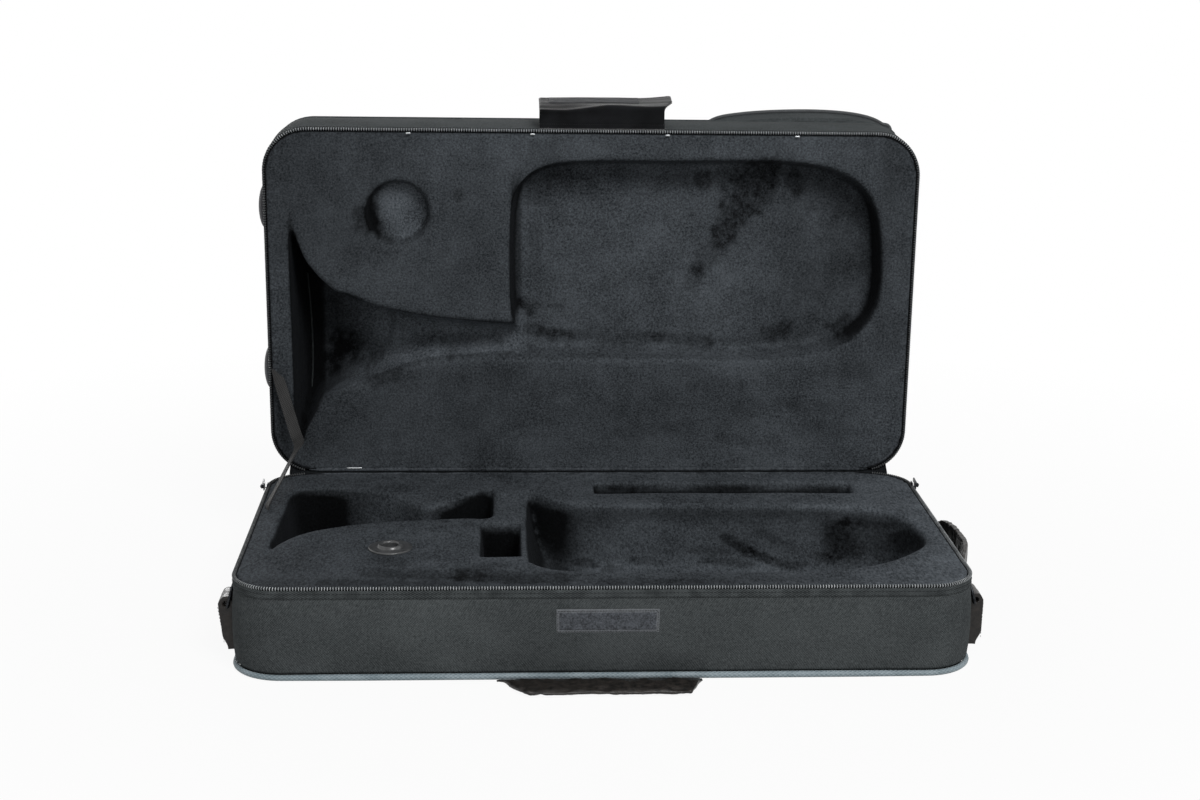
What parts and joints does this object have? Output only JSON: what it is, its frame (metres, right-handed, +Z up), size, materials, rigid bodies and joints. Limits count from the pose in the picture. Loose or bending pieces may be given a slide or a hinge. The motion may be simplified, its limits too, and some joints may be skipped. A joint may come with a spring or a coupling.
{
  "type": "tenor horn case",
  "caption": "Soft zip-up horn case, open at a right angle: plush-lined base and lid with shaped pockets, closure flap, handles, strap rings and an outer pocket.",
  "frame": {"origin": "middle of the base's flat underside", "axes": "+X along the case towards the end with the handle, +Y towards the hinge, +Z up. The zip opens on the -Y side."},
  "size_m": [0.6803, 0.5279, 0.4576],
  "materials": {
    "nylon": "woven, matt",
    "plush": "short pile over foam",
    "piping": "woven, matt",
    "zip_tape": "woven tape",
    "zip_coil": "satin",
    "leatherette": "creased, half gloss",
    "webbing": "woven strap",
    "loop_pile": "loop pile",
    "hook_pile": "hook tape",
    "bush_plastic": "moulded, half gloss",
    "foot_plastic": "moulded, matt",
    "steel": "nickel plated"
  },
  "bodies": {
    "base": {"base_shell": "nylon", "base_insert": "plush", "mouthpiece_bush": "bush_plastic", "base_piping": "piping", "base_zip_tape": "zip_tape", "base_zip_coil": "zip_coil", "base_hinge_strip": "nylon", "stay_strap": "webbing", "loop_patch": "loop_pile", "base_foot_front": "foot_plastic", "base_foot_rear": "foot_plastic", "d_ring_tab_left": "leatherette", "d_ring_tab_right": "leatherette", "end_handle_anchor_front": "leatherette", "end_handle_anchor_rear": "leatherette", "carry_handle_anchor_left": "leatherette", "carry_handle_anchor_right": "leatherette"},
    "lid": {"lid_shell": "nylon", "lid_insert": "plush", "lid_piping": "piping", "lid_zip_tape": "zip_tape", "lid_zip_coil": "zip_coil", "lid_hinge_strip": "nylon", "hinge_staple": "steel", "lid_staple_1": "steel", "lid_staple_2": "steel", "lid_staple_3": "steel", "lid_staple_4": "steel", "flap_seam": "nylon", "lid_foot_lower": "foot_plastic", "lid_foot_upper": "foot_plastic", "lid_pocket": "nylon", "lid_pocket_piping": "zip_tape", "lid_pocket_zip": "zip_tape"},
    "flap_root": {"flap_root": "nylon"},
    "flap_tip": {"flap_tip": "nylon", "flap_hook_tape": "hook_pile"},
    "carry_handle": {"carry_handle": "leatherette"},
    "end_handle": {"end_handle": "leatherette"},
    "d_ring_left": {"d_ring_left": "steel"},
    "d_ring_right": {"d_ring_right": "steel"},
    "zip_slider_left": {"zip_slider_left": "steel"},
    "zip_slider_right": {"zip_slider_right": "steel"},
    "zip_pull_left": {"zip_pull_left": "steel"},
    "zip_pull_right": {"zip_pull_right": "steel"},
    "pocket_slider": {"pocket_slider": "steel"},
    "pocket_pull": {"pocket_pull": "steel"}
  },
  "joints": [
    {"name": "lid_hinge", "type": "hinge", "parent": "base", "child": "lid", "pos_m": [0, 0.1715, 0.0845], "axis": [1, 0, 0], "range_deg": [-18, 90], "deforming": ["stay_strap"]},
    {"name": "flap_fold", "type": "hinge", "parent": "lid", "child": "flap_root", "pos_m": [0.0075, 0.1845, 0.4331], "axis": [1, 0, 0], "range_deg": [-10, 90]},
    {"name": "flap_bend", "type": "hinge", "parent": "flap_root", "child": "flap_tip", "pos_m": [0.0075, 0.1845, 0.4486], "axis": [1, 0, 0], "range_deg": [-10, 82]},
    {"name": "carry_handle_lift", "type": "hinge", "parent": "base", "child": "carry_handle", "pos_m": [-0.0065, -0.1756, 0.0019], "axis": [-1, 0, 0], "range_deg": [-45, 70]},
    {"name": "end_handle_turn", "type": "hinge", "parent": "base", "child": "end_handle", "pos_m": [0.3256, 0, 0.0545], "axis": [0, 1, 0], "range_deg": [-20, 20]},
    {"name": "d_ring_left_swing", "type": "hinge", "parent": "base", "child": "d_ring_left", "pos_m": [-0.327, -0.1125, 0.051], "axis": [0, -1, 0], "range_deg": [0, 140]},
    {"name": "d_ring_right_swing", "type": "hinge", "parent": "base", "child": "d_ring_right", "pos_m": [0.327, -0.1125, 0.051], "axis": [0, 1, 0], "range_deg": [0, 140]},
    {"name": "zip_left_slide", "type": "slide", "parent": "base", "child": "zip_slider_left", "axis": [0, -1, 0], "range_m": [0, 0.246]},
    {"name": "zip_right_slide", "type": "slide", "parent": "base", "child": "zip_slider_right", "axis": [0, -1, 0], "range_m": [0, 0.246]},
    {"name": "zip_pull_left_swing", "type": "hinge", "parent": "zip_slider_left", "child": "zip_pull_left", "pos_m": [-0.3256, 0.1235, 0.0845], "axis": [0, 0, 1], "range_deg": [0, 180]},
    {"name": "zip_pull_right_swing", "type": "hinge", "parent": "zip_slider_right", "child": "zip_pull_right", "pos_m": [0.3256, 0.1235, 0.0845], "axis": [0, 0, -1], "range_deg": [0, 180]},
    {"name": "pocket_zip_slide", "type": "slide", "parent": "lid", "child": "pocket_slider", "axis": [-1, 0, 0], "range_m": [0, 0.128]},
    {"name": "pocket_pull_swing", "type": "hinge", "parent": "pocket_slider", "child": "pocket_pull", "pos_m": [0.2792, 0.3185, 0.37948], "axis": [1, 0, 0], "range_deg": [-6, 150]}
  ],
  "couplings": [
    {"joint": "flap_bend", "follows": "flap_fold", "ratio": 0.9067}
  ]
}
